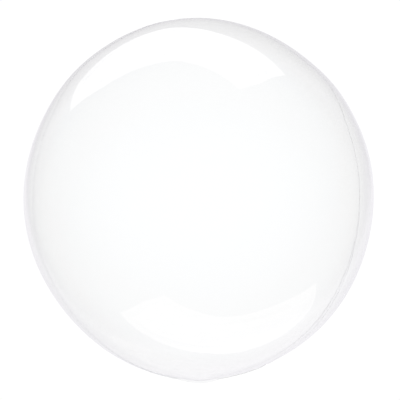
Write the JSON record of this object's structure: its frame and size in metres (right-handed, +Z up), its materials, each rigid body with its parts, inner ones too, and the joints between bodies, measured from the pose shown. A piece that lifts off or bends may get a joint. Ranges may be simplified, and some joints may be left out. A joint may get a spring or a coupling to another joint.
{
  "type": "clear bubble balloon",
  "caption": "Sealed clear stretch-film bubble balloon, near-spherical, with a narrow welded seam round the rim, a trimmed filling neck and a small flat rest spot.",
  "frame": {"origin": "middle of the underside, in the plane that the balloon rests on", "axes": "+Z up, out of the front panel; -Y towards the trimmed filling neck; -X towards the side where the seam rises"},
  "size_m": [0.4992, 0.5206, 0.4855],
  "materials": {
    "clear_film": "clear, colourless stretch film with a high gloss"
  },
  "bodies": {
    "root": {"balloon_envelope": "clear_film"}
  },
  "joints": []
}
